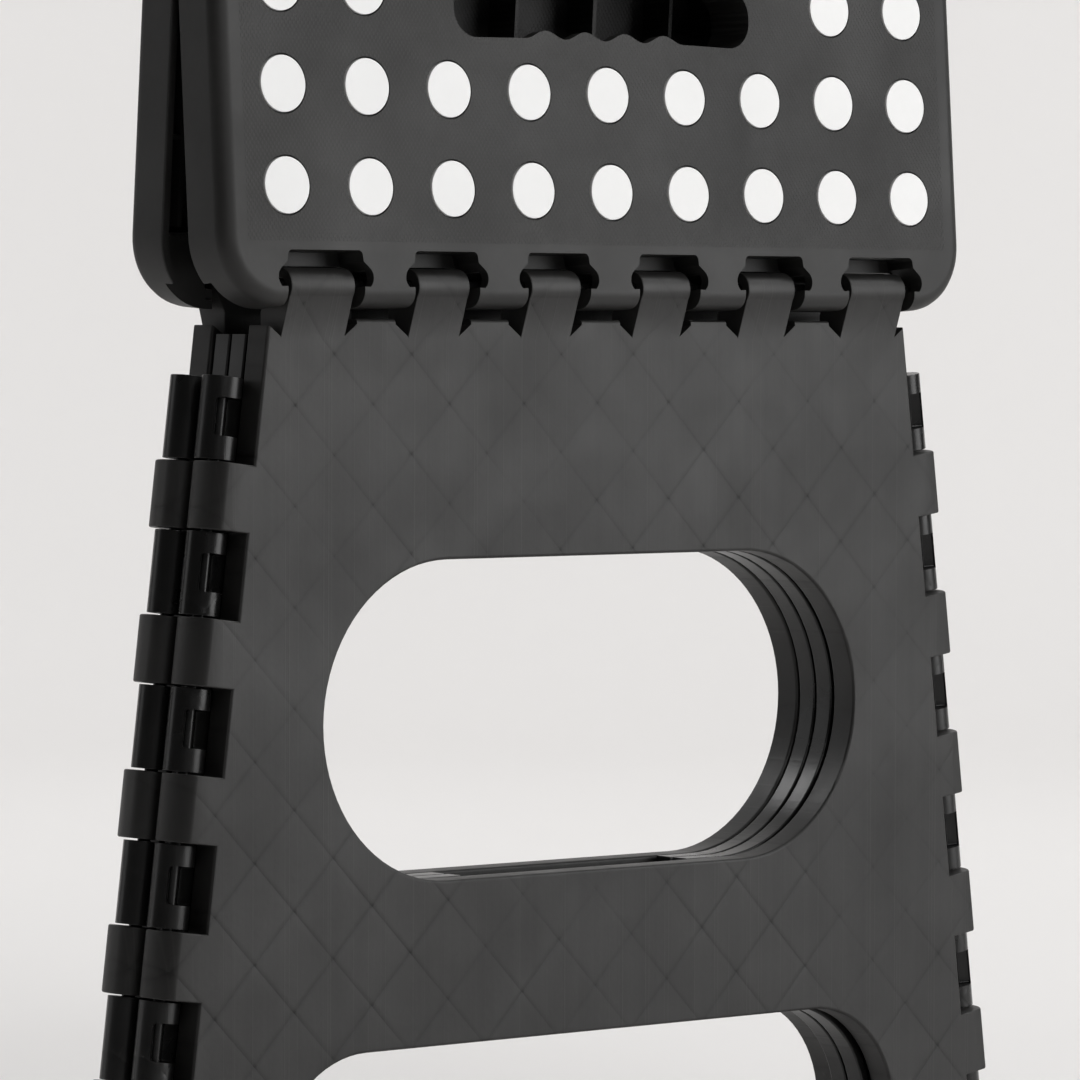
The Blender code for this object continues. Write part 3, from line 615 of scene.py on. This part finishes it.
def fold_spans(front):
    spans = []
    for low, count, length in ((HOLE_Z + HOLE_R + 3.0, 4, 15.0), (ARCH_Z + 3.0, 3, 14.0)):
        for i in range(count):
            if (i % 2 == 0) == front:
                spans.append((low + i * length + 0.35, low + (i + 1) * length - 0.35))
    return spans


def fold_point(z):
    return Vector((-fold_x(z), 0.0, z))


def build_panel(front):
    y0, y1 = -PANEL_INNER - PANEL_THICK, -PANEL_INNER
    body = plate("panel", [panel_outline(0.0, 7.2)], y0, y1, 0.6, 2)
    pocket = plate("pocket", [panel_outline(2.6, 9.8)], y0 - 1.0, y1 - PANEL_SKIN)
    ribs = rib_lattice(y0 + 1.0, y1 - 1.0)
    pocket = combine(pocket, ribs, "DIFFERENCE")
    body = combine(body, pocket, "DIFFERENCE")
    pieces = [body]
    out, back = column_frame(-1)
    for k in range(RECESS_COUNT):
        q0 = RECESS_FIRST + k * RECESS_PITCH + 0.6
        q1 = q0 + RECESS_LEN - 1.2
        clip = arc(0, 0, COLUMN_R, -180, 90, 36) + [(-9.9, 6.0), (-9.9, 0.3), (-5.9, 0.3)]
        window = [(-COLUMN_R - 1.0, -COLUMN_R - 1.0), (CLIP_LIP, -COLUMN_R - 1.0),
                  (CLIP_LIP, -3.0), (2.2, -1.2), (-1.6, -0.6), (-COLUMN_R - 1.0, -0.6)]
        clip = prism("clip", clip, column_point(-1, q0), column_point(-1, q1), out, back, 0.8)
        gap = prism("window", window, column_point(-1, q0 + 0.24 * RECESS_LEN),
                    column_point(-1, q0 + 0.68 * RECESS_LEN), out, back, 0.9)
        pieces.append(combine(clip, gap, "DIFFERENCE"))
    for z0, z1 in fold_spans(front):
        eye = arc(0, 0, FOLD_R, -90, 180, 30) + [(-7.5, -PANEL_INNER - 0.1),
                                                (-7.5, -FOLD_R + 0.1)]
        pieces.append(prism("eye", eye, fold_point(z0), fold_point(z1), (1, 0, 0), (0, 1, 0), 0.4))
    body = union(pieces)
    cuts = [rod("bore", column_point(-1, -5.0), column_point(-1, 285.0), PIN_R + HOLE_CLEAR),
            rod("bore", fold_point(290), fold_point(-10), PIN_R + 0.6)]
    return combine(body, merged("cuts", cuts), "DIFFERENCE")


# ---- materials ----
class Nodes:
    """Small helper that adds and links shader nodes."""

    def __init__(self, name):
        self.mat = bpy.data.materials.new(name)
        self.mat.use_nodes = True
        self.tree = self.mat.node_tree
        self.shader = self.tree.nodes["Principled BSDF"]
        self.place = self.add("ShaderNodeTexCoord").outputs["Object"]

    def add(self, kind, **values):
        node = self.tree.nodes.new(kind)
        for key, value in values.items():
            setattr(node, key, value)
        return node

    def link(self, source, target):
        self.tree.links.new(source, target)

    def scaled(self, scale):
        node = self.add("ShaderNodeMapping")
        node.inputs["Scale"].default_value = scale
        self.link(self.place, node.inputs["Vector"])
        return node.outputs["Vector"]

    def noise(self, scale, stretch=(1, 1, 1), detail=4.0, rough=0.55):
        node = self.add("ShaderNodeTexNoise")
        node.inputs["Scale"].default_value = scale
        node.inputs["Detail"].default_value = detail
        node.inputs["Roughness"].default_value = rough
        self.link(self.scaled(stretch), node.inputs["Vector"])
        return node.outputs["Fac"]

    def math(self, op, a, b=None, c=None):
        node = self.add("ShaderNodeMath", operation=op)
        for slot, value in enumerate((a, b, c)):
            if value is None:
                continue
            if isinstance(value, (int, float)):
                node.inputs[slot].default_value = value
            else:
                self.link(value, node.inputs[slot])
        return node.outputs[0]

    def ramp(self, fac, *stops):
        """Maps a value through (position, value) stops."""
        node = self.add("ShaderNodeMapRange")
        (a, va), (b, vb) = stops
        self.link(fac, node.inputs["Value"])
        node.inputs["From Min"].default_value = a
        node.inputs["From Max"].default_value = b
        node.inputs["To Min"].default_value = va
        node.inputs["To Max"].default_value = vb
        return node.outputs["Result"]

    def mix(self, fac, a, b):
        node = self.add("ShaderNodeMix", data_type="RGBA")
        self.link(fac, node.inputs[0])
        for slot, colour in ((6, a), (7, b)):
            if isinstance(colour, tuple):
                node.inputs[slot].default_value = (*colour, 1.0)
            else:
                self.link(colour, node.inputs[slot])
        return node.outputs[2]

    def bump(self, height, distance, strength=1.0, before=None):
        node = self.add("ShaderNodeBump")
        node.inputs["Distance"].default_value = distance
        node.inputs["Strength"].default_value = strength
        self.link(height, node.inputs["Height"])
        if before is not None:
            self.link(before, node.inputs["Normal"])
        return node.outputs["Normal"]

    def axes(self):
        node = self.add("ShaderNodeSeparateXYZ")
        self.link(self.place, node.inputs[0])
        return node.outputs


def limited(n, fac, low=0.0, high=1.0):
    return n.math("MINIMUM", n.math("MAXIMUM", fac, low), high)


def upright_lines(n, scale, half_width):
    """Straight upright lines at random places across X."""
    cells = n.add("ShaderNodeTexVoronoi", voronoi_dimensions="1D")
    cells.inputs["Scale"].default_value = scale
    n.link(n.axes()[0], cells.inputs["W"])
    return n.ramp(cells.outputs["Distance"], (0.0, 1.0), (half_width * MM * scale, 0.0))


def flow_lines(n):
    """Thin upright lines where the plastic ran into the mould."""
    fine = n.math("MULTIPLY", upright_lines(n, 140.0, 0.28),
                  n.ramp(n.noise(21.0, (1.0, 1.0, 0.3)), (0.42, 0.0), (0.62, 1.0)))
    bold = n.math("MULTIPLY", upright_lines(n, 60.0, 0.36),
                  n.ramp(n.noise(12.0, (1.0, 1.0, 0.2)), (0.36, 0.2), (0.6, 1.0)))
    haze = n.ramp(n.noise(210.0, (1.0, 0.2, 0.012), 4.0, 0.65), (0.38, 0.0), (0.70, 0.5))
    return n.math("ADD", n.math("ADD", fine, bold), haze)


def sink_marks(n):
    """Diamond of shallow lines over the ribs behind a face, with a pit at each crossing."""
    x, _, z = n.axes()
    pitch = RIB_PITCH * MM
    lines = []
    for way in (1.0, -1.0):
        across = n.math("MULTIPLY_ADD", z, way, x)
        start = 40 * pitch - (RIB_SHIFT + way * RIB_CROSS_Z) * MM
        cell = n.math("PINGPONG", n.math("ADD", across, start), pitch / 2)
        lines.append(n.ramp(cell, (0.0, 1.0), (SINK_WIDE * MM, 0.0)))
    soft = [n.math("MULTIPLY", line, line) for line in lines]
    pits = n.math("POWER", n.math("MULTIPLY", *lines), 3.0)
    patch = n.ramp(n.noise(12.0, detail=3.0), (0.36, 0.15), (0.60, 1.0))
    low_down = n.ramp(z, (0.04, 1.0), (0.27, 0.5))
    marks = n.math("MULTIPLY", n.math("ADD", *soft), low_down)
    marks = n.math("MULTIPLY_ADD", pits, 1.3, marks)
    return n.math("MULTIPLY", marks, patch)


def stipple(n):
    """Staggered fine dots, faded out outside the tread's grip field."""
    x, _, z = n.axes()
    fields = []
    for shift in (0.0, 0.5):
        u = n.math("MULTIPLY_ADD", x, 1.0 / (STIPPLE_X * MM), 400.0 + shift)
        v = n.math("MULTIPLY_ADD", z, 1.0 / (STIPPLE_Z * MM), 400.0 + shift)
        du = n.math("SUBTRACT", n.math("FRACT", u), 0.5)
        dv = n.math("SUBTRACT", n.math("FRACT", v), 0.5)
        gap = n.math("ADD", n.math("MULTIPLY", du, du), n.math("MULTIPLY", dv, dv))
        fields.append(n.ramp(gap, (0.02, 1.0), (0.085, 0.0)))
    dots = n.math("MAXIMUM", *fields)
    edge = n.ramp(n.math("ABSOLUTE", x), (FIELD_HALF * MM, 1.0), ((FIELD_HALF + 0.8) * MM, 0.0))
    low_edge = PIVOT_Z - EDGE_TO_PIVOT + FIELD_LOW
    base = n.ramp(z, (low_edge * MM, 0.0), ((low_edge + 0.8) * MM, 1.0))
    return n.math("MULTIPLY", n.math("MULTIPLY", dots, edge), base)


def moulded(name, dark, light, rough, extra=None, weight=0.0, height_weight=0.0, lines=0.0):
    """Moulded plastic: cloudy tone, fine grain, flow lines and one further surface pattern."""
    n = Nodes(name)
    fine = n.noise(520.0, detail=2.0)
    cloud = n.ramp(n.noise(13.0, detail=6.0, rough=0.6), (0.33, 0.0), (0.68, 1.0))
    fac = n.math("MULTIPLY_ADD", fine, 0.22, n.math("MULTIPLY", cloud, 0.62))
    height = n.math("MULTIPLY", fine, 0.35)
    roughness = n.ramp(n.noise(31.0, detail=4.0), (0.3, rough - 0.06), (0.7, rough + 0.07))
    if lines > 0.0:
        flow = flow_lines(n)
        fac = n.math("MULTIPLY_ADD", flow, lines, fac)
        height = n.math("MULTIPLY_ADD", flow, 0.25, height)
    if extra is not None:
        pattern = extra(n)
        fac = n.math("MULTIPLY_ADD", pattern, weight, fac)
        height = n.math("MULTIPLY_ADD", pattern, height_weight, height)
        roughness = n.math("MULTIPLY_ADD", pattern, 0.04, roughness)
    scuffs = n.ramp(n.noise(60.0, (1.0, 1.0, 2.4), 7.0, 0.75), (0.62, 0.0), (0.74, 1.0))
    fac = n.math("MULTIPLY_ADD", scuffs, 0.12, fac)
    roughness = n.math("MULTIPLY_ADD", scuffs, 0.06, roughness)
    n.link(n.mix(limited(n, fac), dark, light), n.shader.inputs["Base Color"])
    n.link(roughness, n.shader.inputs["Roughness"])
    n.link(n.bump(height, 0.00016, 0.55), n.shader.inputs["Normal"])
    n.shader.inputs["Specular IOR Level"].default_value = 0.42
    return n.mat


# ---- build everything ----
lean = Matrix.Rotation(-PSI, 4, "X")
pivot = Vector((0, -PIVOT_Y, PIVOT_Z))


def stand(obj, rear):
    """Leans a tread piece into place over its leg."""
    obj.data.transform(Matrix.Translation(pivot) @ lean)
    return half_turned(obj) if rear else obj


leg_mat = moulded("leg_plastic", (0.006, 0.0058, 0.0056), (0.021, 0.0203, 0.0195), 0.47,
                  sink_marks, -0.50, -1.0, 0.60)
tread_mat = moulded("tread_plastic", (0.004, 0.0039, 0.0037), (0.026, 0.0252, 0.024), 0.50,
                    stipple, 0.40, 0.9)
# painted shade: the side panels and pins are the same black plastic as the legs; their glossier
# finish is real, but their darker base colour stands for the dark reflections on the rounded clips
# and pins
panel_mat = moulded("panel_plastic", (0.002, 0.002, 0.002), (0.006, 0.0059, 0.0058), 0.30,
                    sink_marks, -0.3, -0.8, 0.3)
pin_mat = moulded("pin_plastic", (0.002, 0.002, 0.002), (0.006, 0.006, 0.006), 0.28)
pad_mat = moulded("pad_rubber", (0.005, 0.005, 0.005), (0.014, 0.014, 0.0135), 0.80)
dot_mat = moulded("dot_white", (0.93, 0.93, 0.92), (0.97, 0.97, 0.965), 0.46)

leg = build_leg()
rear = leg.copy()
rear.data = leg.data.copy()
work.objects.link(rear)
show(leg, "front_leg_shell", "front_leg", leg_mat, ["front_leg"])
show(half_turned(rear), "rear_leg_shell", "rear_leg", leg_mat, ["rear_leg"])
for word, is_rear in (("front", False), ("rear", True)):
    show(stand(build_tread(not is_rear), is_rear), word + "_tread_shell", word + "_tread",
         tread_mat, [word + "_tread"])
    show(stand(build_dots(not is_rear), is_rear), word + "_dots", word + "_tread",
         dot_mat, [word + "_grip_dots"])
for label, knuckles, flip, is_rear in (("left_front", True, False, False),
                                       ("left_rear", False, True, True),
                                       ("right_front", False, True, False),
                                       ("right_rear", True, False, True)):
    body = build_panel(knuckles)
    body = mirrored(body) if flip else body
    body = half_turned(body) if is_rear else body
    show(body, label + "_panel_shell", label + "_panel", panel_mat, [label + "_panel"])

for label, side, is_rear in (("left_front", -1, False), ("left_rear", 1, True),
                             ("right_front", 1, False), ("right_rear", -1, True)):
    low_q = (LEG_TOP - LEG_BOTTOM) * AXIS_STEP - 6.0
    pin = rod("pin", column_point(side, RECESS_FIRST + 2.0), column_point(side, low_q), PIN_R)
    show(half_turned(pin) if is_rear else pin, label + "_pin_shell",
         "rear_leg" if is_rear else "front_leg", pin_mat, [label + "_column_pin"])

# the CAD parts left in view take the pin plastic, whose darkened base colour is painted shade; the
# foot pads get the rubber
for name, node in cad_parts.items():
    mat = pad_mat if "foot_pad" in name else pin_mat
    for slot in node.material_slots:
        slot.material = mat


# ---- stage, light and camera ----
def stage_material(name, colour, rough):
    n = Nodes(name)
    soft = n.noise(1.3, detail=2.0)
    fac = n.ramp(soft, (0.3, 0.0), (0.7, 1.0))
    n.link(n.mix(fac, colour, tuple(c * 0.985 for c in colour)), n.shader.inputs["Base Color"])
    n.shader.inputs["Roughness"].default_value = rough
    return n.mat


def sweep():
    """Floor that curves up into a wide backdrop behind and to the left of the stool."""
    depth, bend, height = 3.0, 0.9, 3.6
    profile = [(-3.4, 0.0), (depth - bend, 0.0)]
    profile += [(depth - bend + bend * sin(radians(a)), bend - bend * cos(radians(a)))
                for a in range(5, 91, 5)]
    profile.append((depth, height))
    bm = bmesh.new()
    rows = []
    for x in (-3.6, 3.6):
        rows.append([bm.verts.new(STUDIO_TURN @ Vector((x, y, z))) for y, z in profile])
    for i in range(len(profile) - 1):
        face = bm.faces.new((rows[0][i], rows[1][i], rows[1][i + 1], rows[0][i + 1]))
        face.smooth = True
    mesh = bpy.data.meshes.new("sweep")
    bm.to_mesh(mesh)
    bm.free()
    obj = bpy.data.objects.new("sweep", mesh)
    bpy.context.scene.collection.objects.link(obj)
    mesh.materials.append(stage_material("sweep_paper", (0.84, 0.825, 0.815), 0.9))
    return obj


STUDIO_TURN = Matrix.Rotation(radians(-41.5), 4, "Z")
sweep()


def lamp(name, place, aim, power, wide, tall):
    """Soft box; place and aim are in studio axes, with the camera looking along +Y."""
    light = bpy.data.lights.new(name, "AREA")
    light.energy = power
    light.shape = "RECTANGLE"
    light.size = wide
    light.size_y = tall
    place, aim = STUDIO_TURN @ Vector(place), STUDIO_TURN @ Vector(aim)
    obj = bpy.data.objects.new(name, light)
    obj.location = place
    obj.rotation_euler = (aim - place).to_track_quat("-Z", "Y").to_euler()
    bpy.context.scene.collection.objects.link(obj)


lamp("key", (2.2, -0.45, 0.75), (0, 0, 0.22), 27.0, 1.5, 1.6)
lamp("front", (0.9, -2.0, 1.6), (0, 0, 0.22), 12.0, 1.0, 1.0)
lamp("left", (-2.3, 0.4, 0.8), (0, 0, 0.22), 3.0, 0.8, 1.6)
lamp("top", (0.2, 0.4, 2.4), (0, 0, 0.2), 16.0, 1.6, 1.2)
lamp("backdrop_left", (-2.0, 1.2, 2.2), (-0.6, 3.0, 0.5), 34.0, 1.4, 1.4)
lamp("backdrop_right", (2.0, 1.2, 2.2), (0.6, 3.0, 0.5), 34.0, 1.4, 1.4)

world = bpy.data.worlds.new("studio")
world.use_nodes = True
world.node_tree.nodes["Background"].inputs[0].default_value = (0.86, 0.85, 0.845, 1.0)
world.node_tree.nodes["Background"].inputs[1].default_value = 0.07
bpy.context.scene.world = world

eye = Vector((-1.2482, -1.4034, 0.2721))
yaw, pitch, roll = radians(41.45), radians(1.96), radians(0.18)
aim = Vector((sin(yaw) * cos(pitch), cos(yaw) * cos(pitch), -sin(pitch)))
camera_data = bpy.data.cameras.new("camera")
camera_data.sensor_width = 36.0
camera_data.lens = 205.0
camera = bpy.data.objects.new("camera", camera_data)
camera.location = eye
camera.rotation_euler = (aim.to_track_quat("-Z", "Y").to_matrix()
                         @ Matrix.Rotation(roll, 3, "Z")).to_euler()
bpy.context.scene.collection.objects.link(camera)
bpy.context.scene.camera = camera

bpy.data.collections.remove(work)

bpy.context.scene.view_settings.view_transform = "Standard"
